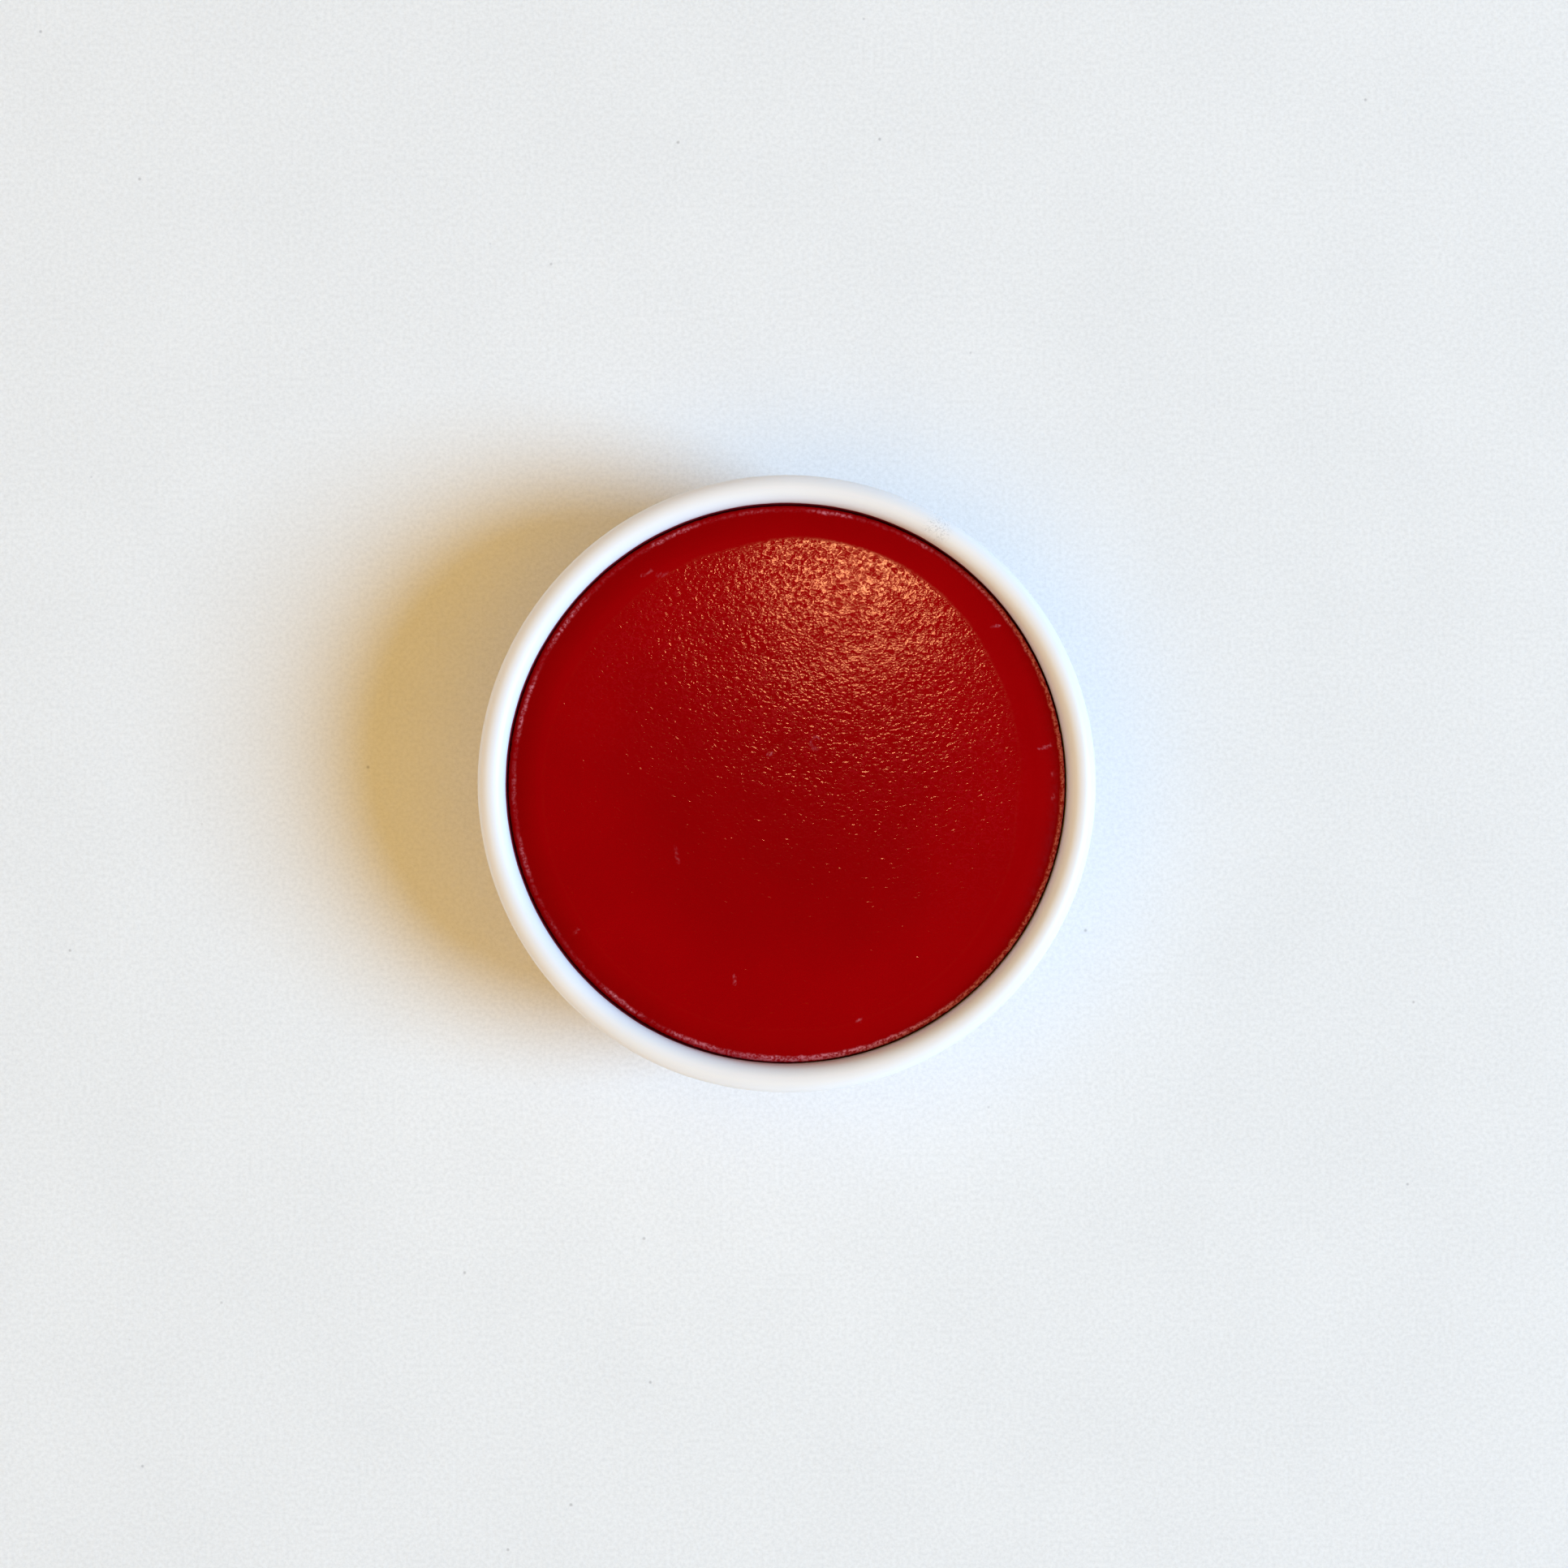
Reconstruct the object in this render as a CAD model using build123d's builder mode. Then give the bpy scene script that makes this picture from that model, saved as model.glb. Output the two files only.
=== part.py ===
from build123d import *
from math import cos, radians, sin, tan
import os

# A round porcelain paint pan holding one dried cake of paint, with a blank paper label underneath.
# Millimetres. +Z is up, and the origin is the centre of the base, on the table's surface.
# Every piece is a half section in X and Z, turned about the Z axis.

# Dish: wall and lip
dish_diameter = 57.0
dish_height = 16.0
wall_thickness = 2.55  # the lip is a full round of this thickness
wall_draft = 2.0  # degrees that both faces of the wall lean in, from the lip down to the base
floor_thickness = 2.8
inner_corner = 3.0  # radius between the wall and the floor inside
outer_corner = 4.0  # radius between the wall and the base outside

# Dish: foot ring
foot_step = 1.0  # how far the ring stands below the base around it
foot_shoulder = 1.6  # flat part of the base between the outer corner and the ring
foot_width = 2.4
foot_recess = 1.3  # depth of the hollow inside the ring
foot_root = 0.5  # radius where the ring grows out of the base
foot_edge = 0.6  # radius on the ring's two lower edges

# Paint cake
cake_gap = 0.4  # clearance to the wall, left by the paint as it dried and shrank
cake_depth = 1.6  # from the top of the lip down to the cake's edge
crown_rise = 0.35  # from the cake's edge up to its flat top
crown_width = 2.4  # breadth of the rounded band between the edge and the flat top

# Base label
label_margin = 4.5  # clearance from the label to the foot ring's root
label_thickness = 0.15

# The lip's round and the two parallel faces that leave it
lip_radius = wall_thickness / 2
lip_centre_r = dish_diameter / 2 - lip_radius
lip_centre_z = dish_height - lip_radius
draft = radians(wall_draft)
outer_lip_end = (lip_centre_r + lip_radius * cos(draft), lip_centre_z - lip_radius * sin(draft))
inner_lip_end = (lip_centre_r - lip_radius * cos(draft), lip_centre_z + lip_radius * sin(draft))


def outer_wall(z):
    """Radius of the wall's outer face at a height."""
    return outer_lip_end[0] - (outer_lip_end[1] - z) * tan(draft)


def inner_wall(z):
    """Radius of the wall's inner face at a height."""
    return inner_lip_end[0] - (inner_lip_end[1] - z) * tan(draft)


floor_z = foot_recess + floor_thickness
foot_radius = outer_wall(foot_step) - outer_corner - foot_shoulder
recess_radius = foot_radius - foot_width
cake_edge_z = dish_height - cake_depth
cake_top_z = cake_edge_z + crown_rise
cake_edge_r = inner_wall(cake_edge_z) - cake_gap
label_radius = recess_radius - foot_root - label_margin

os.makedirs("parts", exist_ok=True)

# Dish: from the lip down the outside, round the foot ring to the axis, up through the floor, and
# back along the inside to the lip.
with BuildPart() as dish:
    with BuildSketch(Plane.XZ):
        with BuildLine():
            FilletPolyline(
                outer_lip_end,
                (outer_wall(foot_step), foot_step),
                (foot_radius, foot_step),
                (foot_radius, 0),
                (recess_radius, 0),
                (recess_radius, foot_recess),
                (0, foot_recess),
                radius=[outer_corner, foot_root, foot_edge, foot_edge, foot_root],
            )
            Line((0, foot_recess), (0, floor_z))
            FilletPolyline(
                (0, floor_z),
                (inner_wall(floor_z), floor_z),
                inner_lip_end,
                radius=[inner_corner],
            )
            CenterArc((lip_centre_r, lip_centre_z), lip_radius, -wall_draft, 180)
        make_face()
    revolve(axis=Axis.Z)
dish.part.label = "dish"
export_step(dish.part, "parts/dish.step")

# Paint cake: rests on the dish's floor, keeps the gap to the wall all the way up, and rises from
# its edge to a flat top in one arc that meets the flat smoothly.
with BuildPart() as paint_cake:
    with BuildSketch(Plane.XZ):
        with BuildLine():
            FilletPolyline(
                (0, floor_z),
                (inner_wall(floor_z) - cake_gap, floor_z),
                (cake_edge_r, cake_edge_z),
                radius=[inner_corner],
            )
            TangentArc(
                (cake_edge_r - crown_width, cake_top_z),
                (cake_edge_r, cake_edge_z),
                tangent=(1, 0),
            )
            Polyline((cake_edge_r - crown_width, cake_top_z), (0, cake_top_z), (0, floor_z))
        make_face()
    revolve(axis=Axis.Z)
paint_cake.part.label = "paint_cake"
export_step(paint_cake.part, "parts/paint_cake.step")

# Base label: a disc glued to the roof of the foot ring's hollow, clear of the table.
with BuildPart() as base_label:
    with BuildSketch(Plane.XY.offset(foot_recess - label_thickness)):
        Circle(label_radius)
    extrude(amount=label_thickness)
base_label.part.label = "base_label"
export_step(base_label.part, "parts/base_label.step")

for piece in (dish, paint_cake, base_label):
    print(piece.part.label, piece.part.bounding_box().size, "volume", round(piece.part.volume, 1))
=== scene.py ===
from math import cos, pi, radians, sin, tan

import bpy
import numpy as np
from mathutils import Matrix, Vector


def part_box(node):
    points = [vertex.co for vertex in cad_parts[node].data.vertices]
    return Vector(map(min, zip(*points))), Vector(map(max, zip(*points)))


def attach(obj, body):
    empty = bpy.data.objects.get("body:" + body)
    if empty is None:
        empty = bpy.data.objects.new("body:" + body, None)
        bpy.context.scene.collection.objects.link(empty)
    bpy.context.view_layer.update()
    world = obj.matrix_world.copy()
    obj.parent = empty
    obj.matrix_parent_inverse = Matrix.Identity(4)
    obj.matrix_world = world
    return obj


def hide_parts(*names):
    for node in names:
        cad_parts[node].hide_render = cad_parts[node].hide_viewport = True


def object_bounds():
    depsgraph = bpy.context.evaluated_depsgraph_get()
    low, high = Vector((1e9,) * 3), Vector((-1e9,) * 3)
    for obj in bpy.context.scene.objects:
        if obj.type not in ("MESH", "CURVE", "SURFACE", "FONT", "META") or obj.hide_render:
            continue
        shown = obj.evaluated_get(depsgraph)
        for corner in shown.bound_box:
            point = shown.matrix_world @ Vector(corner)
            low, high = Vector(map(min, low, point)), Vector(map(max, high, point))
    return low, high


# A round porcelain paint pan with a hard, dried cake of deep red paint in it.
# Metres throughout. The pan stands on z = 0 with its axis on Z.

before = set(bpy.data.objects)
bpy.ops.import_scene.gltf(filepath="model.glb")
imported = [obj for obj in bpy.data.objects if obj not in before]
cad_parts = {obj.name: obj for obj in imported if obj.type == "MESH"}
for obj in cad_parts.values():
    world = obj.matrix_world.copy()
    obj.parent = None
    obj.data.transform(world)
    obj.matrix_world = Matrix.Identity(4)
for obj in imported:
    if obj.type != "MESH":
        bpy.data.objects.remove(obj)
cadLow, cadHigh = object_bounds()
mm = 0.001


# Shapes and noise that the pieces share.

def wavyField(wavelength, spread, seed, cells=768, span=60 * mm):
    # Random waves whose lengths lie round one wavelength: white noise, passed through a ring-shaped
    # window of its spectrum, and brought to unit strength. The field repeats every span.
    draw = np.random.default_rng(seed)
    spectrum = np.fft.rfft2(draw.standard_normal((cells, cells)))
    frequencyX = np.fft.rfftfreq(cells, span / cells)
    frequencyY = np.fft.fftfreq(cells, span / cells)
    octaves = np.log2(np.hypot(frequencyX[None, :], frequencyY[:, None]) * wavelength + 1e-9)
    field = np.fft.irfft2(spectrum * np.exp(-((octaves / spread) ** 2)), s=(cells, cells))
    return {"values": field / field.std(), "step": span / cells}


def readField(field, x, y):
    # The field's value at each point, blended from the four grid values around it.
    values, step = field["values"], field["step"]
    count = len(values)
    column, row = x / step, y / step
    left, low = np.floor(column).astype(int), np.floor(row).astype(int)
    across, up = column - left, row - low
    left, low = left % count, low % count
    right, high = (left + 1) % count, (low + 1) % count
    lower = values[low, left] * (1 - across) + values[low, right] * across
    upper = values[high, left] * (1 - across) + values[high, right] * across
    return lower * (1 - up) + upper * up


def roundWave(angles, orders, seed):
    # A smooth curve round the circle: a sum of cosines of whole orders with random phases.
    draw = np.random.default_rng(seed)
    phases = draw.uniform(0, 2 * pi, len(orders))
    heights = draw.uniform(0.5, 1.0, len(orders))
    waves = heights[:, None] * np.cos(np.outer(orders, angles) + phases[:, None])
    return waves.sum(axis=0) / np.sqrt((heights ** 2).sum() / 2)


def smoothStep(low, high, value):
    share = np.clip((value - low) / (high - low), 0, 1)
    return share * share * (3 - 2 * share)


def roundedOutline(corners, radii, step):
    # Straight runs joined by arcs: each corner is swapped for the arc of its radius that touches
    # both runs, and runs and arcs are both cut into steps.
    corners = np.array(corners, float)
    points = [corners[0]]
    for before, corner, after, radius in zip(corners[:-2], corners[1:-1], corners[2:], radii):
        back = (before - corner) / np.linalg.norm(before - corner)
        ahead = (after - corner) / np.linalg.norm(after - corner)
        half = np.arccos(np.clip(back @ ahead, -1, 1)) / 2
        middle = back + ahead
        centre = corner + middle / np.linalg.norm(middle) * radius / sin(half)
        start = corner + back * radius / tan(half) - centre
        end = corner + ahead * radius / tan(half) - centre
        turn = pi - 2 * half
        count = max(3, int(np.ceil(radius * turn / step)) + 1)
        share = np.linspace(0, 1, count)[:, None]
        arc = (np.sin((1 - share) * turn) * start + np.sin(share * turn) * end) / sin(turn)
        points += list(cutRun(points[-1], centre + start, step)) + list(centre + arc)
    points += list(cutRun(points[-1], corners[-1], step)) + [corners[-1]]
    return np.array(points)


def cutRun(start, end, step):
    # The points between the two ends of a straight run.
    count = max(1, int(np.ceil(np.linalg.norm(end - start) / step)))
    return start + (end - start) * (np.arange(1, count) / count)[:, None]


def meshPiece(name, points, quads, triangles):
    mesh = bpy.data.meshes.new(name)
    corners = np.concatenate([quads.ravel(), triangles.ravel()])
    sides = np.concatenate([np.full(len(quads), 4), np.full(len(triangles), 3)])
    mesh.vertices.add(len(points))
    mesh.vertices.foreach_set("co", points.astype(np.float32).ravel())
    mesh.loops.add(len(corners))
    mesh.loops.foreach_set("vertex_index", corners.astype(np.int32))
    mesh.polygons.add(len(sides))
    mesh.polygons.foreach_set("loop_start", (np.cumsum(sides) - sides).astype(np.int32))
    mesh.polygons.foreach_set("use_smooth", np.ones(len(sides), bool))
    mesh.update(calc_edges=True)
    mesh.validate()
    piece = bpy.data.objects.new(name, mesh)
    bpy.context.collection.objects.link(piece)
    return piece


def ringQuads(rings, around, first=0):
    # Quads between neighbouring rings of equal count, each ring closed on itself.
    ring, step = np.meshgrid(np.arange(rings - 1), np.arange(around), indexing="ij")
    here = first + ring * around + step
    beside = first + ring * around + (step + 1) % around
    return np.stack([here, beside, beside + around, here + around], axis=-1).reshape(-1, 4)


def poleFan(ringStart, around, pole, outward):
    # Triangles from one ring to the single point at its middle.
    step = np.arange(around)
    here, beside = ringStart + step, ringStart + (step + 1) % around
    order = [here, beside] if outward else [beside, here]
    return np.stack([*order, np.full(around, pole)], axis=-1)


def keepValue(piece, name, values):
    layer = piece.data.attributes.new(name, "FLOAT", "POINT")
    layer.data.foreach_set("value", values.astype(np.float32))


# Shader nodes that the materials share.

def newMaterial(name):
    material = bpy.data.materials.new(name)
    material.use_nodes = True
    nodes, links = material.node_tree.nodes, material.node_tree.links
    shader = nodes["Principled BSDF"]
    place = nodes.new("ShaderNodeTexCoord")
    return material, nodes, links, shader, place.outputs["Object"]


def noiseNode(nodes, links, place, wavelength, detail=2.0, roughness=0.5):
    node = nodes.new("ShaderNodeTexNoise")
    node.inputs["Scale"].default_value = 1 / wavelength
    node.inputs["Detail"].default_value = detail
    node.inputs["Roughness"].default_value = roughness
    links.new(place, node.inputs["Vector"])
    return node.outputs["Fac"]


def rampNode(nodes, links, source, stops):
    node = nodes.new("ShaderNodeValToRGB")
    while len(node.color_ramp.elements) < len(stops):
        node.color_ramp.elements.new(0.5)
    for element, (position, shade) in zip(node.color_ramp.elements, stops):
        element.position = position
        element.color = (*shade, 1) if isinstance(shade, tuple) else (shade, shade, shade, 1)
    links.new(source, node.inputs["Fac"])
    return node.outputs["Color"]


def mapNode(nodes, links, source, fromLow, fromHigh, toLow, toHigh):
    node = nodes.new("ShaderNodeMapRange")
    for socket, value in zip(node.inputs[1:5], (fromLow, fromHigh, toLow, toHigh)):
        socket.default_value = value
    links.new(source, node.inputs["Value"])
    return node.outputs["Result"]


def mathNode(nodes, links, operation, first, second):
    node = nodes.new("ShaderNodeMath")
    node.operation = operation
    for socket, value in zip(node.inputs, (first, second)):
        if isinstance(value, (int, float)):
            socket.default_value = value
        else:
            links.new(value, socket)
    return node.outputs["Value"]


def mixNode(nodes, links, share, first, second, blend="MIX"):
    node = nodes.new("ShaderNodeMix")
    node.data_type = "RGBA"
    node.blend_type = blend
    sockets = [node.inputs[0], node.inputs[6], node.inputs[7]]
    for socket, value in zip(sockets, (share, first, second)):
        if isinstance(value, tuple):
            socket.default_value = (*value, 1)
        elif isinstance(value, (int, float)):
            socket.default_value = value
        else:
            links.new(value, socket)
    return node.outputs[2]


def axisDistance(nodes, links, place):
    # How far a point lies from the upright axis.
    flat = nodes.new("ShaderNodeVectorMath")
    flat.operation = "MULTIPLY"
    flat.inputs[1].default_value = (1, 1, 0)
    links.new(place, flat.inputs[0])
    length = nodes.new("ShaderNodeVectorMath")
    length.operation = "LENGTH"
    links.new(flat.outputs[0], length.inputs[0])
    return length.outputs["Value"]


def middleDistance(nodes, links, cloud):
    # How far a cloudy field is from its middle value.
    return mathNode(nodes, links, "ABSOLUTE", mathNode(nodes, links, "SUBTRACT", cloud, 0.5), 0)


def slantNode(nodes, links, place, slope):
    # A value that grows evenly in the direction of the slope.
    slant = nodes.new("ShaderNodeVectorMath")
    slant.operation = "DOT_PRODUCT"
    slant.inputs[1].default_value = slope
    links.new(place, slant.inputs[0])
    return slant.outputs["Value"]


def bumpNode(nodes, links, height, distance, strength=1.0, below=None):
    node = nodes.new("ShaderNodeBump")
    node.inputs["Strength"].default_value = strength
    node.inputs["Distance"].default_value = distance
    links.new(height, node.inputs["Height"])
    if below is not None:
        links.new(below, node.inputs["Normal"])
    return node.outputs["Normal"]


def attributeNode(nodes, name):
    node = nodes.new("ShaderNodeAttribute")
    node.attribute_name = name
    return node.outputs["Fac"]


# The porcelain dish.

dishLook = {
    "wallThickness": 2.55 * mm,
    "wallDraft": radians(2.0),
    "innerCorner": 3.0 * mm,
    "outerCorner": 4.0 * mm,
    "footStep": 1.0 * mm,
    "footShoulder": 1.6 * mm,
    "footWidth": 2.4 * mm,
    "footRecess": 1.3 * mm,
    "footRoot": 0.5 * mm,
    "footEdge": 0.6 * mm,
    "pointsAround": 320,
    "profileStep": 0.45 * mm,
    "lipWander": 0.03 * mm,  # about how far the lip strays from a true circle
    "wanderShare": 0.2,  # of the wander, both ways
    "inwardShare": 0.5,  # more of it, only inwards
    "sagShare": 0.4,  # the lip sags by this much of the wander
    "glaze": (0.89, 0.868, 0.862),
    "shadedLowerGlaze": (0.77, 0.70, 0.67),  # below the lip, darker and a little warmer: a painted shade that holds down the strong light on the outer wall
    "shadeLevel": (11.5 * mm, 14.0 * mm),  # between these heights one shade becomes the other
    "glazeRoughness": 0.34,
    "bareClay": (0.70, 0.66, 0.60),
    "stain": (0.20, 0.006, 0.012),  # on the inside of the dish, where it is thick
    "stainThin": (0.66, 0.20, 0.19),  # and where it is thin
    "stainRadius": (26.1 * mm, 26.3 * mm),  # it ends between these distances from the axis
    "stainTop": 14.72 * mm,
    "stainEdge": (0.10 * mm, 0.28 * mm),  # above the top, it fades between these
    "stainWave": 0.3 * mm,
    "stainSlope": (0.036, -0.022, 0),  # its line is lower this way
    "stainSolid": (11 * mm, 13.5 * mm),  # between these heights the thin patches close up
    "speckSpacing": 3.2 * mm,
    "speckShade": (0.25, 0.24, 0.23),
    "scuffPlace": (13.8 * mm, 23.4 * mm, 16.0 * mm),  # a few grey hairlines on the lip
    "scuffShade": (0.20, 0.18, 0.20),
}


def dishProfile(look, outerRadius, height, floorHeight):
    # The half section, from the middle of the base round the foot ring, up the outside, over the
    # full-round lip and down the inside to the middle of the floor.
    lipRadius = look["wallThickness"] / 2
    lipCentre = np.array([outerRadius - lipRadius, height - lipRadius])
    draft = look["wallDraft"]
    outerEnd = lipCentre + lipRadius * np.array([cos(draft), -sin(draft)])
    innerEnd = lipCentre + lipRadius * np.array([-cos(draft), sin(draft)])
    outerBase = outerEnd[0] - (outerEnd[1] - look["footStep"]) * tan(draft)
    innerBase = innerEnd[0] - (innerEnd[1] - floorHeight) * tan(draft)
    footRadius = outerBase - look["outerCorner"] - look["footShoulder"]
    recessRadius = footRadius - look["footWidth"]
    outside = roundedOutline(
        [(0, look["footRecess"]), (recessRadius, look["footRecess"]), (recessRadius, 0),
         (footRadius, 0), (footRadius, look["footStep"]), (outerBase, look["footStep"]), outerEnd],
        [look["footRoot"], look["footEdge"], look["footEdge"], look["footRoot"], look["outerCorner"]],
        look["profileStep"],
    )
    sweep = np.linspace(-draft, pi - draft, 33)[1:-1]
    lip = lipCentre + lipRadius * np.stack([np.cos(sweep), np.sin(sweep)], axis=1)
    inside = roundedOutline(
        [innerEnd, (innerBase, floorHeight), (0, floorHeight)],
        [look["innerCorner"]],
        look["profileStep"],
    )
    return np.concatenate([outside, lip, inside])


def makeDish(look):
    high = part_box("dish")[1]
    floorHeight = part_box("paint_cake")[0].z
    profile = dishProfile(look, high.x, high.z, floorHeight)
    around = look["pointsAround"]
    angles = np.arange(around) * 2 * pi / around
    rings = profile[1:-1]
    # Each ring is the profile's radius times the circle, moved out by a share of the lip's slow
    # wander or in by a larger share of it. This fades to nothing towards the foot.
    fade = smoothStep(0.2 * high.z, high.z, rings[:, 1])[:, None]
    wander = look["lipWander"] * roundWave(angles, np.arange(2, 9), seed=3)[None, :] * fade
    sag = look["sagShare"] * look["lipWander"] * roundWave(angles, np.arange(2, 6), seed=4)[None, :] * fade
    inward = np.minimum(wander, 0) * look["inwardShare"]
    radius = rings[:, :1] + inward + wander * look["wanderShare"]
    x, y = radius * np.cos(angles), radius * np.sin(angles)
    z = rings[:, 1:] + np.minimum(sag, 0) + 0 * angles
    points = np.stack([x, y, z], axis=-1).reshape(-1, 3)
    poles = np.array([[0, 0, profile[0, 1]], [0, 0, profile[-1, 1]]])
    lastRing = (len(rings) - 1) * around
    fans = np.concatenate([
        poleFan(0, around, len(points), outward=False),
        poleFan(lastRing, around, len(points) + 1, outward=True),
    ])
    points = np.concatenate([points, poles])
    dish = meshPiece("porcelain_dish", points, ringQuads(len(rings), around), fans)
    dish.data.materials.append(glazeMaterial(look))
    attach(dish, "dish")
    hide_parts("dish")


def glazeMaterial(look):
    material, nodes, links, shader, place = newMaterial("satin_white_glaze")
    height = nodes.new("ShaderNodeSeparateXYZ")
    links.new(place, height.inputs["Vector"])
    # The foot ring's underside is left bare, up to a slightly uneven line.
    edge = mathNode(nodes, links, "MULTIPLY", noiseNode(nodes, links, place, 4 * mm), 0.5 * mm)
    level = mathNode(nodes, links, "SUBTRACT", height.outputs["Z"], edge)
    bare = mapNode(nodes, links, level, 0.02 * mm, 0.12 * mm, 1, 0)
    cloudy = rampNode(nodes, links, noiseNode(nodes, links, place, 9 * mm, 3), [(0.35, 0.97), (0.7, 1.0)])
    # Below the lip the glaze takes a painted shade, darker and warmer than above.
    upper = mapNode(nodes, links, height.outputs["Z"], *look["shadeLevel"], 0, 1)
    glazeShadedBelow = mixNode(nodes, links, upper, look["shadedLowerGlaze"], look["glaze"])
    tint = mixNode(nodes, links, 1.0, glazeShadedBelow, cloudy, "MULTIPLY")
    grit = rampNode(nodes, links, noiseNode(nodes, links, place, 0.5 * mm, 4), [(0.4, 0.9), (0.7, 1.0)])
    clay = mixNode(nodes, links, 1.0, look["bareClay"], grit, "MULTIPLY")
    # A few tiny dark specks in the glaze.
    specks = nodes.new("ShaderNodeTexVoronoi")
    specks.inputs["Scale"].default_value = 1 / look["speckSpacing"]
    links.new(place, specks.inputs["Vector"])
    dot = mapNode(nodes, links, specks.outputs["Distance"], 0.012, 0.035, 1, 0)
    some = mapNode(nodes, links, specks.outputs["Color"], 0.80, 0.84, 0, 1)
    speck = mathNode(nodes, links, "MULTIPLY", dot, some)
    speckled = mixNode(nodes, links, speck, tint, look["speckShade"])
    # Grey hairlines on the lip: thin dark veins, only near one place.
    apart = nodes.new("ShaderNodeVectorMath")
    apart.operation = "DISTANCE"
    apart.inputs[1].default_value = look["scuffPlace"]
    links.new(place, apart.inputs[0])
    near = mapNode(nodes, links, apart.outputs["Value"], 0.6 * mm, 1.6 * mm, 1, 0)
    cloud = noiseNode(nodes, links, place, 0.4 * mm, 3)
    vein = mapNode(nodes, links, middleDistance(nodes, links, cloud), 0.0, 0.03, 0.5, 0)
    scuff = mathNode(nodes, links, "MULTIPLY", near, vein)
    scuffed = mixNode(nodes, links, scuff, speckled, look["scuffShade"])
    # The stain on the inside: within the wall's inner radius, below an uneven line that is lower
    # towards the near right.
    within = mapNode(nodes, links, axisDistance(nodes, links, place), *look["stainRadius"], 1, 0)
    lower = mathNode(nodes, links, "MAXIMUM", slantNode(nodes, links, place, look["stainSlope"]), 0)
    wavy = mathNode(nodes, links, "MULTIPLY", noiseNode(nodes, links, place, 2.2 * mm, 3), look["stainWave"])
    line = mathNode(nodes, links, "ADD", height.outputs["Z"], mathNode(nodes, links, "ADD", lower, wavy))
    full, gone = [look["stainTop"] + above for above in look["stainEdge"]]
    under = mapNode(nodes, links, line, full, gone, 1, 0)
    inward = mapNode(nodes, links, height.outputs["Z"], 2.0 * mm, 2.4 * mm, 0, 1)
    stained = mathNode(nodes, links, "MULTIPLY", mathNode(nodes, links, "MULTIPLY", within, under), inward)
    blotchy = mapNode(nodes, links, noiseNode(nodes, links, place, 3 * mm, 4, 0.6), 0.40, 0.60, 0, 1)
    rising = mapNode(nodes, links, height.outputs["Z"], *look["stainSolid"], 0, 1)
    thick = mathNode(nodes, links, "MAXIMUM", blotchy, rising)
    stain = mixNode(nodes, links, thick, look["stainThin"], look["stain"])
    stainedGlaze = mixNode(nodes, links, stained, scuffed, stain)
    links.new(mixNode(nodes, links, bare, stainedGlaze, clay), shader.inputs["Base Color"])
    glossy = mapNode(nodes, links, noiseNode(nodes, links, place, 1.6 * mm, 3), 0.3, 0.7,
                     look["glazeRoughness"] - 0.05, look["glazeRoughness"] + 0.05)
    rough = nodes.new("ShaderNodeMapRange")
    links.new(bare, rough.inputs["Value"])
    links.new(glossy, rough.inputs["To Min"])
    rough.inputs["To Max"].default_value = 0.85
    links.new(rough.outputs["Result"], shader.inputs["Roughness"])
    ripple = bumpNode(nodes, links, noiseNode(nodes, links, place, 2.5 * mm, 2), 0.03 * mm, 0.6)
    links.new(bumpNode(nodes, links, noiseNode(nodes, links, place, 0.25 * mm, 3), 0.006 * mm, 0.5, ripple),
              shader.inputs["Normal"])
    shader.inputs["IOR"].default_value = 1.5
    return material


# The cake of dried paint.

paintLook = {
    "cellsAcross": 250,  # cells of the wrinkled top, from side to side
    "crownWidth": 2.4 * mm,
    "crownDrop": 0.50 * mm,
    "wallDraft": radians(2.0),
    "lowerCorner": 3.0 * mm,
    "crestInset": 0.22 * mm,  # the crumbly crest stands this far in from the block's side
    "sideReach": 0.26 * mm,  # the block's shoulder bulges this far out of its side
    "offCentre": 0.14 * mm,  # the crest is pushed this much to the right
    "pebbleLength": 0.95 * mm,
    "pebbleHeight": 0.0014 * mm,
    "creaseLength": 0.58 * mm,
    "creaseHeight": 0.0104 * mm,
    "swellLength": 9 * mm,
    "swellHeight": 0.004 * mm,
    "crumbHeight": 0.09 * mm,
    "leastCrumb": 0.01 * mm,
    "crestRagged": 0.03 * mm,
    "shoulderRagged": 0.015 * mm,
    "pitDepth": 0.03 * mm,
    "unbrokenLitTurn": radians(28),  # the unbroken crest, with its painted highlight, is centred this far clockwise of the right
    "skinInset": 0.1 * mm,  # the pebbled skin stops this far inside the flat
    "rightInset": 1.3 * mm,  # and this much further in on the right
    "leftInset": 0.8 * mm,  # and this much at the upper left
    "leftTurn": radians(140),
    "skinWave": 0.12 * mm,
    "skinFade": 0.3 * mm,
    "markWidth": 0.13 * mm,
    "markHeight": 0.015 * mm,
    "red": (0.276, 0.0002, 0.0011),
    # the red of the side below the crest is a painted shade
    "shadedSideRed": (0.150, 0.0060, 0.0040),
    # pale worn paint on the marks and crest, and along the right of the crest a painted highlight
    "palePigmentAndHighlight": (0.63, 0.18, 0.22),
    "ridgeSheenRed": (0.52, 0.008, 0.020),
    "ridgeSheenSlope": (0.45, 0.9, 0),  # the painted sheen on the ridges grows this way
    "bandRoughness": 0.26,
    "skinRoughness": 0.10,
    "bandGloss": 0.006,
    "skinGloss": 0.32,
}

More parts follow.
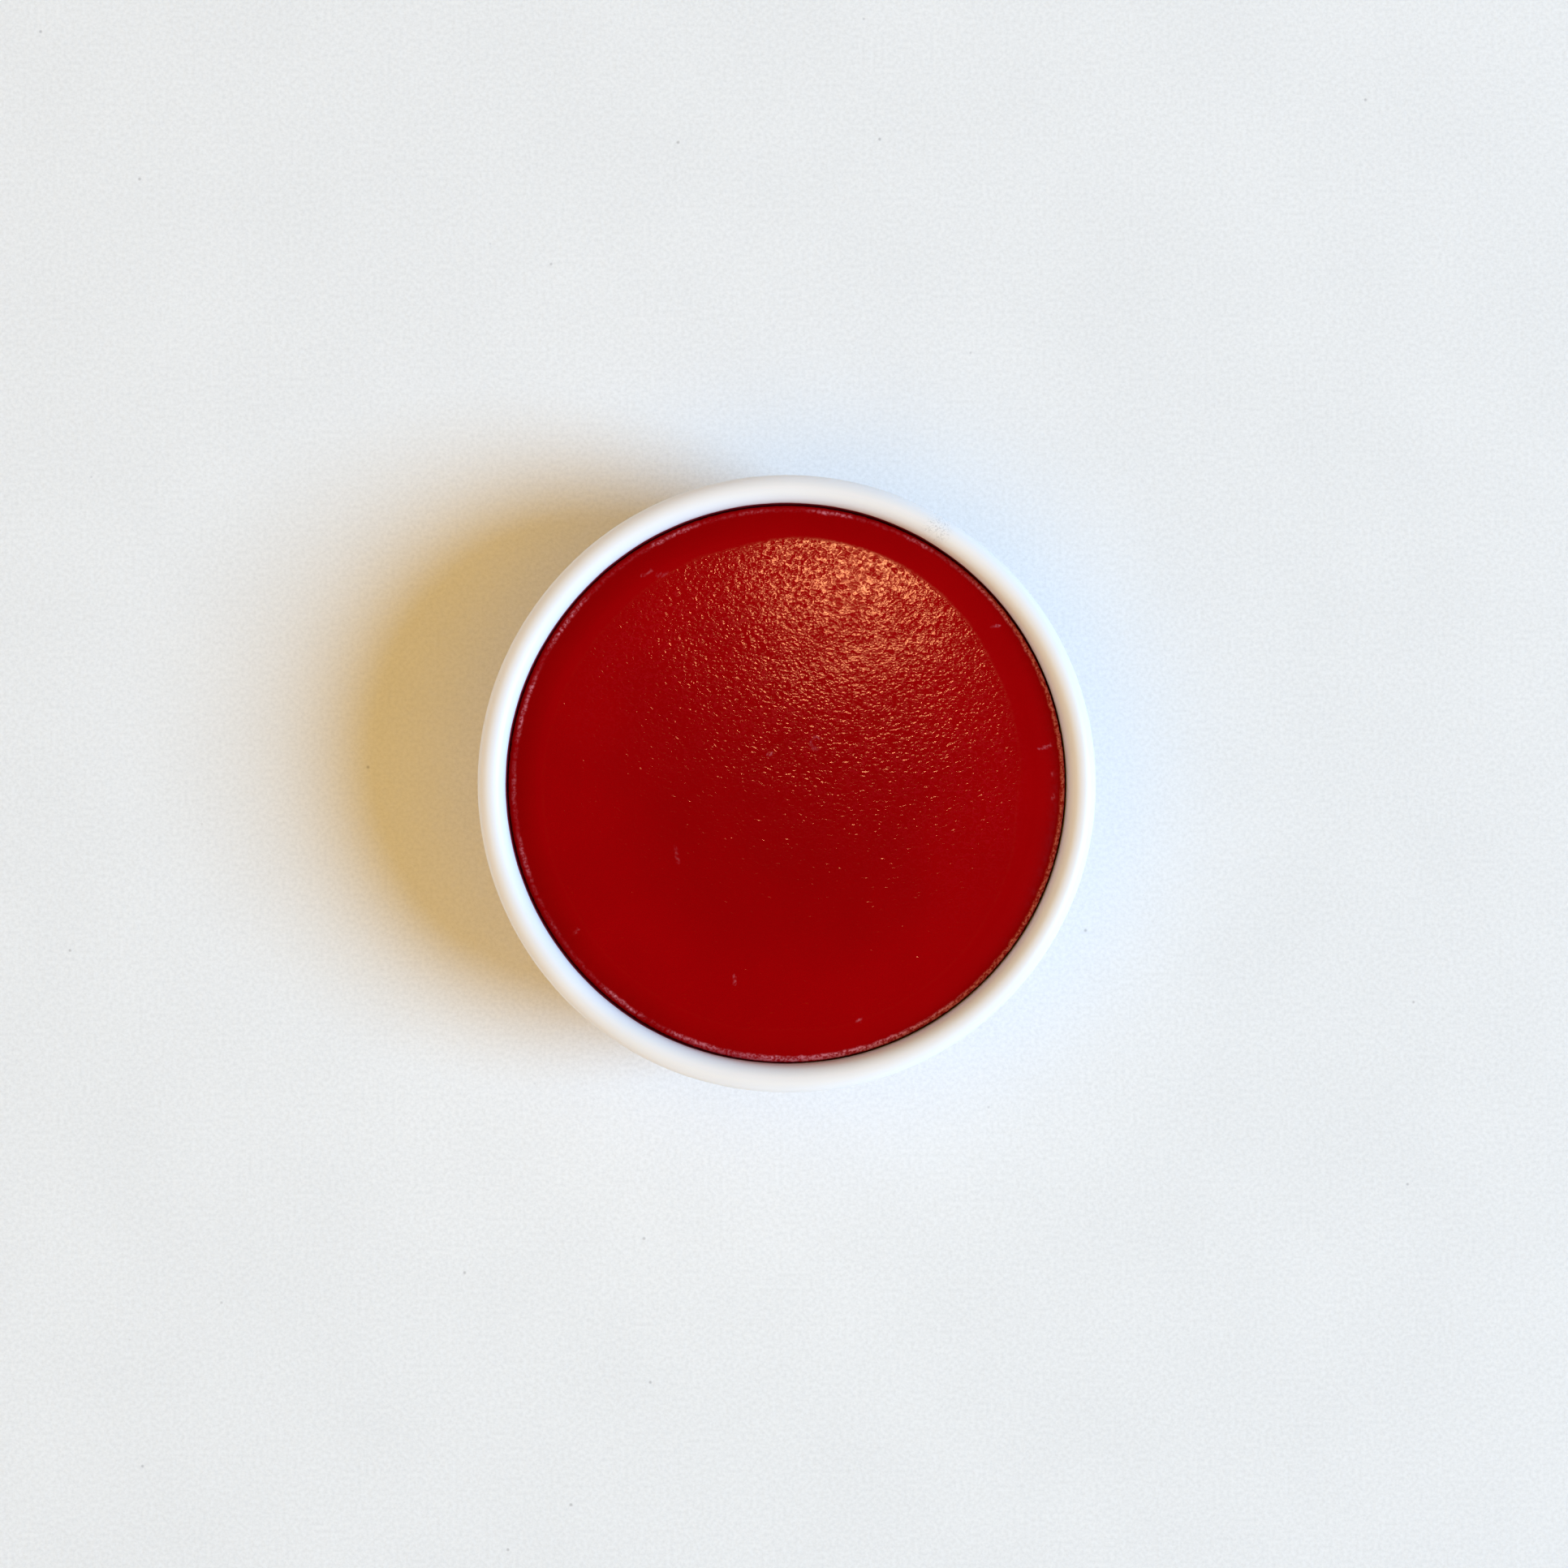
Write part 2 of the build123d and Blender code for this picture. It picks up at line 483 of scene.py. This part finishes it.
# Flecks and scratches on the skin, each an arc: its middle, its heading in degrees, its length, its
# radius and how pale it is. Millimetres.
skinMarks = [
    {"at": (-12.9, 19.4), "turn": 30, "length": 1.1, "radius": 1.6, "pale": 0.28},
    {"at": (-11.5, 19.3), "turn": 10, "length": 1.0, "radius": 1.4, "pale": 0.24},
    {"at": (19.3, 14.6), "turn": 8, "length": 0.7, "radius": 3.0, "pale": 0.55},
    {"at": (23.9, 3.4), "turn": 18, "length": 1.2, "radius": 5.0, "pale": 0.40},
    {"at": (24.6, 1.0), "turn": 80, "length": 0.3, "radius": 2.0, "pale": 0.35},
    {"at": (24.6, -1.2), "turn": 60, "length": 0.4, "radius": 2.0, "pale": 0.35},
    {"at": (2.2, 3.8), "turn": -90, "length": 2.3, "radius": 0.55, "pale": 0.3},
    {"at": (-1.6, 2.8), "turn": 15, "length": 0.3, "radius": 2.0, "pale": 0.5},
    {"at": (-4.8, -18.1), "turn": 95, "length": 0.8, "radius": 1.6, "pale": 0.32},
    {"at": (-10.2, -6.5), "turn": -78, "length": 1.6, "radius": 4.0, "pale": 0.15},
    {"at": (6.7, -21.8), "turn": 0, "length": 0.35, "radius": 2.0, "pale": 0.39},
    {"at": (-19.4, -13.6), "turn": 50, "length": 0.6, "radius": 2.0, "pale": 0.28},
]


def discGrid(cells):
    # A square grid pressed into a round one: squares round the middle become circles, so that all
    # the cells stay about as large as each other.
    side = np.linspace(-1, 1, cells + 1)
    a, b = np.meshgrid(side, side, indexing="xy")
    wide = np.abs(a) > np.abs(b)
    reach = np.where(wide, a, b)
    safe = np.where(reach == 0, 1, reach)
    turn = np.where(wide, pi / 4 * b / safe, pi / 2 - pi / 4 * a / safe)
    return reach * np.cos(turn), reach * np.sin(turn)


def gridRim(cells):
    # The indices of the square grid's outer points, anticlockwise from its right-hand lower corner.
    count = cells + 1
    index = np.arange(count * count).reshape(count, count)
    return np.concatenate([index[:-1, -1], index[-1, :0:-1], index[:0:-1, 0], index[0, :-1]])


def arcMarks(marks, width, x, y):
    # How strongly each point is marked: a mark's paleness on its arc, and nothing a width away.
    strength = 0 * x
    for mark in marks:
        turn, radius = radians(mark["turn"]), mark["radius"] * mm
        away = x - mark["at"][0] * mm + radius * sin(turn), y - mark["at"][1] * mm - radius * cos(turn)
        across = np.abs(np.hypot(*away) - radius)
        along = np.abs(np.angle(np.exp(1j * (np.arctan2(away[1], away[0]) - turn + pi / 2)))) * radius
        beyond = np.clip(along - mark["length"] * mm / 2, 0, None)
        near = 1 - smoothStep(0.3 * width, width, np.hypot(across, beyond))
        strength = np.maximum(strength, mark["pale"] * near)
    return strength


def paintTop(look, x, y, flatRadius, topHeight):
    # The skin's height: a flat level, a slow swell, and small pebbled waves that stop short of the
    # smooth band round the edge, with the flecks standing on it.
    radius, angle = np.hypot(x, y), np.arctan2(y, x)
    swell = readField(wavyField(look["swellLength"], 0.6, seed=11), x, y)
    pebbles = readField(wavyField(look["pebbleLength"], 0.35, seed=12), x, y)
    warp = readField(wavyField(5 * mm, 0.7, seed=13), x, y)
    uneven = look["skinWave"] * roundWave(angle, np.arange(3, 14), seed=14)
    limit = flatRadius - look["skinInset"] - look["rightInset"] * np.clip(np.cos(angle), 0, 1) ** 3
    upperLeft = np.clip(np.cos(angle - look["leftTurn"]), 0, 1) ** 3
    limit = limit - look["leftInset"] * upperLeft + np.minimum(uneven, 0)
    inside = 1 - smoothStep(limit - look["skinFade"], limit, radius)
    rise = look["pebbleHeight"] * pebbles * (1 + 0.25 * warp) * inside
    calm = 1 - smoothStep(flatRadius - 3 * mm, flatRadius, radius)
    marked = arcMarks(skinMarks, look["markWidth"], x, y)
    height = topHeight + look["swellHeight"] * swell * calm + rise + look["markHeight"] * marked
    return height, inside, marked


def makePaint(look):
    low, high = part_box("paint_cake")
    edgeRadius = high.x
    flatRadius = edgeRadius - look["crownWidth"]
    topHeight, edgeHeight = high.z, high.z - look["crownDrop"]
    cells = look["cellsAcross"]
    discX, discY = discGrid(cells)
    topX, topY = (discX * flatRadius).ravel(), (discY * flatRadius).ravel()
    topZ, skin, marked = paintTop(look, topX, topY, flatRadius, topHeight)
    top = np.stack([topX, topY, topZ], axis=1)
    rim = gridRim(cells)
    angles = np.arctan2(top[rim, 1], top[rim, 0])
    around = len(rim)

    # The band and the crest: outwards from the flat, the surface falls along a line that steepens,
    # ends in a ragged crest, and drops over a shoulder into the side, which follows the dish's wall
    # down to a rounded corner.
    aside = look["offCentre"] * np.cos(angles)
    ragged = roundWave(angles, np.arange(20, 160, 7), seed=21)
    flakes = roundWave(angles, np.arange(90, 420, 11), seed=22)
    patch = smoothStep(-0.4, 0.9, roundWave(angles, np.arange(3, 22, 2), seed=23))
    unbrokenLitSide = smoothStep(0.0, 0.7, np.cos(angles + look["unbrokenLitTurn"]))  # unbroken along the right, where the crest also takes a painted highlight
    crestRadius = edgeRadius - look["crestInset"] + aside + look["crestRagged"] * ragged
    reach = edgeRadius + look["sideReach"] - 0.2 * aside + look["shoulderRagged"] * flakes
    share = np.concatenate([np.arange(1, 13) * 0.075, [0.95, 0.975, 1.0]])[:, None]
    bandRadius = flatRadius + (crestRadius - flatRadius)[None, :] * share
    bandHeight = topHeight - look["crownDrop"] * (0.45 * share + 0.55 * share ** 2) + 0 * angles
    clumps = 0.3 + 0.7 * np.maximum(patch, 0.5 * unbrokenLitSide)
    crumb = look["crumbHeight"] * clumps * (0.6 + 0.25 * ragged + 0.25 * flakes)
    crumb = np.maximum(crumb, look["leastCrumb"])
    bandHeight[-3:] += 0.45 * crumb * [[0.15], [0.55], [1.0]]
    bandX, bandY = bandRadius * np.cos(angles), bandRadius * np.sin(angles)
    bandMarked = arcMarks(skinMarks, look["markWidth"], bandX, bandY)
    bandHeight += look["markHeight"] * bandMarked
    shoulderOut = np.array([0.10, 0.28, 0.55, 0.80, 0.95, 1.0])[:, None]
    shoulderUp = np.array([0.9, 0.5, 0, 0, 0, 0])[:, None]
    shoulderDown = np.array([0, 0.01, 0.03, 0.06, 0.14, 0.45])[:, None] * mm
    ridgeRadius = crestRadius + (reach - crestRadius) * shoulderOut
    ridgeHeight = edgeHeight + crumb * shoulderUp - shoulderDown

    def sideRadius(z):
        return edgeRadius - (edgeHeight - z) * tan(look["wallDraft"])

    corner = look["lowerCorner"]
    sideLine = roundedOutline(
        [(sideRadius(edgeHeight - 1.8 * mm), edgeHeight - 1.8 * mm), (sideRadius(low.z), low.z), (0, low.z)],
        [corner], 1.5 * mm)[:-1]
    sideLine = sideLine[sideLine[:, 0] > 0.8 * edgeRadius]  # the rest of the bottom is one flat fan
    pits = wavyField(1.6 * mm, 0.8, seed=24)
    pitted = look["pitDepth"] * readField(pits, angles[None, :] * edgeRadius, sideLine[:, 1:])
    sideRadii = sideLine[:, :1] - np.abs(pitted)
    ringRadius = np.concatenate([bandRadius, ridgeRadius, sideRadii])
    ringHeight = np.concatenate([bandHeight, ridgeHeight, sideLine[:, 1:] + 0 * angles])
    rings = np.stack([ringRadius * np.cos(angles), ringRadius * np.sin(angles), ringHeight], axis=-1)
    points = np.concatenate([top, rings.reshape(-1, 3), [[0, 0, low.z]]])

    row, column = np.meshgrid(np.arange(cells), np.arange(cells), indexing="ij")
    here = row * (cells + 1) + column
    topQuads = np.stack([here, here + 1, here + cells + 2, here + cells + 1], axis=-1).reshape(-1, 4)
    first = len(top)
    beside = np.roll(np.arange(around), -1)
    joinQuads = np.stack([rim, first + np.arange(around), first + beside, rim[beside]], axis=-1)
    sideQuads = ringQuads(len(ringRadius), around, first)[:, ::-1]
    fan = poleFan(first + (len(ringRadius) - 1) * around, around, len(points) - 1, outward=False)
    paint = meshPiece("dried_paint", points, np.concatenate([topQuads, joinQuads, sideQuads]), fan)

    # Pale wear on the marks and the crumbly crest; along the right the crest is stronger, wider and
    # unbroken, a painted highlight of the lit edge.
    wearAndLitEdge = np.zeros((len(ringRadius), around))
    wearAndLitEdge[:len(bandRadius)] = bandMarked
    broken = (0.10 + 0.74 * patch) * np.clip(0.75 + 0.35 * flakes, 0, 1)
    along = broken + (1.0 - broken) * unbrokenLitSide
    crest = slice(len(bandRadius) - 3, len(bandRadius) + 2)
    wearAndLitEdge[crest] = np.array([0.35, 0.8, 1.0, 1.0, 0.8])[:, None] * along
    wearAndLitEdge[len(bandRadius) + 2:len(bandRadius) + 4] = np.array([0.85, 0.55])[:, None] * unbrokenLitSide
    keepValue(paint, "wearAndLitEdge", np.concatenate([marked, wearAndLitEdge.ravel(), [0]]))
    keepValue(paint, "skin", np.concatenate([skin, 0 * wearAndLitEdge.ravel(), [0]]))
    paint.data.materials.append(paintMaterial(look, edgeHeight))
    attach(paint, "cake")
    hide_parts("paint_cake")


def paintMaterial(look, edgeHeight):
    material, nodes, links, shader, place = newMaterial("dried_red_paint")
    wearAndLitEdge, skin = attributeNode(nodes, "wearAndLitEdge"), attributeNode(nodes, "skin")
    height = nodes.new("ShaderNodeSeparateXYZ")
    links.new(place, height.inputs["Vector"])
    # Painted shade: below the crest the red darkens towards the side and shoulder, which lie in shade in the
    # gap round the cake.
    down = mapNode(nodes, links, height.outputs["Z"], edgeHeight - 0.6 * mm, edgeHeight - 0.1 * mm, 1, 0)
    # Worm-like creases, longer from left to right: narrow ridges wherever a cloudy field passes
    # through its middle value.
    stretch = nodes.new("ShaderNodeVectorMath")
    stretch.operation = "MULTIPLY"
    stretch.inputs[1].default_value = (1.0, 1.3, 1.0)
    links.new(place, stretch.inputs[0])
    cloud = noiseNode(nodes, links, stretch.outputs[0], look["creaseLength"], 1.0, 0.5)
    aside = middleDistance(nodes, links, cloud)
    ridge = mapNode(nodes, links, aside, 0.015, 0.30, 0.45, -0.55)
    # The red: a faint cloud, with a painted sheen that makes it paler outwards almost to the edge, and a
    # brighter painted sheen on the ridges of the far right part.
    drift = noiseNode(nodes, links, place, 8 * mm, 4, 0.6)
    cloudy = rampNode(nodes, links, drift, [(0.3, 0.93), (0.65, 1.0)])
    outward = mapNode(nodes, links, axisDistance(nodes, links, place), 0, 25 * mm, 0, 1)
    outwardSheen = [(0.15, 0.97), (0.45, 1.03), (0.75, 1.17), (0.90, 1.17), (0.98, 1.05)]
    outwardSheenRamp = rampNode(nodes, links, outward, outwardSheen)
    cloudAndSheen = mixNode(nodes, links, 1.0, cloudy, outwardSheenRamp, "MULTIPLY")
    body = mixNode(nodes, links, 1.0, look["red"], cloudAndSheen, "MULTIPLY")
    # Painted sheen on the ridges: strongest towards the far right, on thin lines along the ridges, short of
    # the edge.
    sheenSide = slantNode(nodes, links, place, look["ridgeSheenSlope"])
    strength = mapNode(nodes, links, sheenSide, -8 * mm, 8 * mm, 0, 0.26)
    thin = mathNode(nodes, links, "MULTIPLY", mapNode(nodes, links, aside, 0.0, 0.045, 1, 0),
                    mapNode(nodes, links, outward, 0.80, 0.91, 1, 0))
    pale = mathNode(nodes, links, "MULTIPLY", strength, thin)
    ridgeSheened = mixNode(nodes, links, pale, body, look["ridgeSheenRed"])
    sideShaded = mixNode(nodes, links, down, ridgeSheened, look["shadedSideRed"])
    crumbs = noiseNode(nodes, links, place, 0.26 * mm, 2, 0.6)
    wornAndLit = mathNode(nodes, links, "MULTIPLY", wearAndLitEdge, mapNode(nodes, links, crumbs, 0.42, 0.58, 0.1, 1))
    # Pale worn paint, with a painted highlight along the right of the crest.
    links.new(mixNode(nodes, links, wornAndLit, sideShaded, look["palePigmentAndHighlight"]), shader.inputs["Base Color"])
    rough = mapNode(nodes, links, skin, 0, 1, look["bandRoughness"], look["skinRoughness"])
    links.new(rough, shader.inputs["Roughness"])
    gloss = mapNode(nodes, links, skin, 0, 1, look["bandGloss"], look["skinGloss"])
    onRidge = mapNode(nodes, links, aside, 0.0, 0.16, 1.6, 0.4)  # the ridges shine most
    links.new(mathNode(nodes, links, "MULTIPLY", gloss, onRidge), shader.inputs["Specular IOR Level"])
    lift = mathNode(nodes, links, "MULTIPLY", ridge, mapNode(nodes, links, skin, 0, 1, 0.05, 1))
    links.new(bumpNode(nodes, links, lift, look["creaseHeight"], 1.0), shader.inputs["Normal"])
    shader.inputs["IOR"].default_value = 1.45
    return material


# The label under the dish.

labelLook = {
    "paper": (0.80, 0.77, 0.70),
    "pointsAround": 160,
    "edgeCurl": 0.10 * mm,  # about how far the rim hangs down from the glaze
    "upperShare": 0.9,  # the upper side hangs this much of that
}


def makeLabel(look):
    low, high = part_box("base_label")
    around = look["pointsAround"]
    angles = np.arange(around) * 2 * pi / around
    radius = high.x
    share = np.array([0.15, 0.35, 0.55, 0.7, 0.82, 0.9, 0.95, 0.985, 1.0])
    # Two discs back to back. Both bow down towards the rim, by a slow wave round it times the eighth
    # power of the share of the radius, the upper one a little less.
    curl = look["edgeCurl"] * (0.5 + 0.5 * roundWave(angles, np.arange(1, 5), seed=31))
    droop = np.clip(curl, 0, None)[None, :] * (share[:, None] ** 8)
    lower = low.z - droop
    upper = high.z - look["upperShare"] * droop
    radii = np.concatenate([share, share[::-1]]) * radius
    heights = np.concatenate([lower, upper[::-1]])
    x, y = radii[:, None] * np.cos(angles), radii[:, None] * np.sin(angles)
    points = np.stack([x, y, heights], axis=-1)
    points = np.concatenate([points.reshape(-1, 3), [[0, 0, low.z], [0, 0, high.z]]])
    quads = ringQuads(len(radii), around)
    fans = np.concatenate([
        poleFan(0, around, len(points) - 2, outward=False),
        poleFan((len(radii) - 1) * around, around, len(points) - 1, outward=True),
    ])
    label = meshPiece("paper_label", points, quads, fans)
    label.data.materials.append(paperMaterial("label_paper", look["paper"]))
    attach(label, "dish")
    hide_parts("base_label")


def paperMaterial(name, shade):
    # Paper: pale pulp with a faint cloud, short fibres and a soft tooth.
    material, nodes, links, shader, place = newMaterial(name)
    drift = noiseNode(nodes, links, place, 14 * mm, 4)
    cloud = rampNode(nodes, links, drift, [(0.3, 0.975), (0.7, 1.0)])
    fibres = noiseNode(nodes, links, place, 0.38 * mm, 3, 0.65)
    pulp = rampNode(nodes, links, fibres, [(0.3, 0.90), (0.62, 1.0)])
    clouded = mixNode(nodes, links, 1.0, shade, cloud, "MULTIPLY")
    tinted = mixNode(nodes, links, 1.0, clouded, pulp, "MULTIPLY")
    specks = nodes.new("ShaderNodeTexVoronoi")
    specks.inputs["Scale"].default_value = 1 / (7 * mm)
    links.new(place, specks.inputs["Vector"])
    dot = mapNode(nodes, links, specks.outputs["Distance"], 0.012, 0.03, 0.5, 0)
    links.new(mixNode(nodes, links, dot, tinted, (0.35, 0.33, 0.34)), shader.inputs["Base Color"])
    tooth = noiseNode(nodes, links, place, 0.6 * mm, 5, 0.7)
    links.new(bumpNode(nodes, links, tooth, 0.06 * mm, 0.6), shader.inputs["Normal"])
    links.new(mapNode(nodes, links, tooth, 0.3, 0.7, 0.85, 0.95), shader.inputs["Roughness"])
    shader.inputs["Specular IOR Level"].default_value = 0.25
    return material


# The stage: floor, lights, room and camera.

stageLook = {
    "floorRadius": 4.0,
    "floorShade": (0.89, 0.89, 0.89),
    "frameWidth": 144.7 * mm,  # what the camera takes in, at the lip's widest level
    "cameraAbove": 157 * mm,  # from the lip's widest level up to the lens
    "cameraAside": -0.26 * mm,
    "key": {"turn": -10, "rise": 35, "away": 4.0, "across": 2.0, "deep": 2.0, "watts": 245,
            "shade": (0.32, 0.63, 1.0)},
    "lamp": {"turn": 71, "rise": 81.8, "away": 2.5, "across": 0.24, "deep": 0.12, "watts": 4.4,
             "shade": (0.84, 0.36, 0.155)},
    # The room's shade by the height of the direction looked in: 0 level, 1 straight up.
    "room": [(0.10, (0.62, 0.74, 0.92)), (0.24, (0.29, 0.30, 0.32)), (0.58, (0.30, 0.23, 0.08)),
             (0.74, (1.26, 0.72, 0.02)), (0.93, (1.26, 0.72, 0.02)), (0.965, (0.0, 0.0, 0.0))],
    "farSide": (0.42, 0.50, 0.75),  # how much of that is left towards the far side
    "leftWall": (1.20, 1.28, 1.45),  # a low, pale window on the left
}


def makeFloor(look):
    around = 96
    angles = np.arange(around) * 2 * pi / around
    points = look["floorRadius"] * np.stack([np.cos(angles), np.sin(angles), 0 * angles], axis=1)
    points = np.concatenate([points, [[0, 0, 0]]])
    fan = poleFan(0, around, around, outward=True)
    floor = meshPiece("paper_floor", points, np.empty((0, 4), int), fan)
    floor.data.materials.append(paperMaterial("white_paper", look["floorShade"]))


def makeLight(name, look, target):
    turn, rise = radians(look["turn"]), radians(look["rise"])
    away = Vector((cos(turn) * cos(rise), sin(turn) * cos(rise), sin(rise)))
    lamp = bpy.data.lights.new(name, "AREA")
    lamp.shape = "ELLIPSE"
    lamp.size, lamp.size_y = look["across"], look["deep"]
    lamp.energy = look["watts"]
    lamp.color = look["shade"]
    light = bpy.data.objects.new(name, lamp)
    light.location = target + away * look["away"]
    light.rotation_euler = away.to_track_quat("Z", "Y").to_euler()
    bpy.context.collection.objects.link(light)


def makeRoom(look):
    # A warm ring of light high up round a dark middle of the ceiling, dimmer at the far side, a pale
    # level horizon, and a soft pale window low on the left.
    world = bpy.data.worlds.new("room")
    world.use_nodes = True
    nodes, links = world.node_tree.nodes, world.node_tree.links
    direction = nodes.new("ShaderNodeTexCoord")
    split = nodes.new("ShaderNodeSeparateXYZ")
    links.new(direction.outputs["Generated"], split.inputs["Vector"])
    shade = rampNode(nodes, links, split.outputs["Z"], look["room"])
    behind = rampNode(nodes, links, split.outputs["Y"], [(0.05, 1.0), (0.5, look["farSide"])])
    dimmed = mixNode(nodes, links, 1.0, shade, behind, "MULTIPLY")
    leftward = mapNode(nodes, links, split.outputs["X"], -0.85, -0.2, 1, 0)
    low = mapNode(nodes, links, split.outputs["Z"], 0.3, 0.6, 1, 0)
    window = mathNode(nodes, links, "MULTIPLY", leftward, low)
    links.new(mixNode(nodes, links, window, dimmed, look["leftWall"]), nodes["Background"].inputs["Color"])
    bpy.context.scene.world = world


def makeCamera(look, height, lipRadius):
    data = bpy.data.cameras.new("camera")
    data.sensor_width = 36
    data.lens = 36 * look["cameraAbove"] / look["frameWidth"]
    camera = bpy.data.objects.new("camera", data)
    camera.location = (look["cameraAside"], 0, height - lipRadius + look["cameraAbove"])
    data.clip_start, data.clip_end = 0.01, 20
    bpy.context.collection.objects.link(camera)
    bpy.context.scene.camera = camera


lipTop = cadHigh.z
makeCamera(stageLook, lipTop, dishLook["wallThickness"] / 2)
makeFloor(stageLook)
makeRoom(stageLook)
makeLight("key_light", stageLook["key"], Vector((0, 0, lipTop)))
makeLight("warm_lamp", stageLook["lamp"], Vector((0, 0, lipTop)))
bpy.context.scene.view_settings.view_transform = "Standard"
print("stage: floor, room, two lights and camera")

makeDish(dishLook)
print("dish: lathed profile, satin glaze")
makePaint(paintLook)
print("paint: wrinkled cake with a crumbly edge")
makeLabel(labelLook)
print("label: blank paper disc")
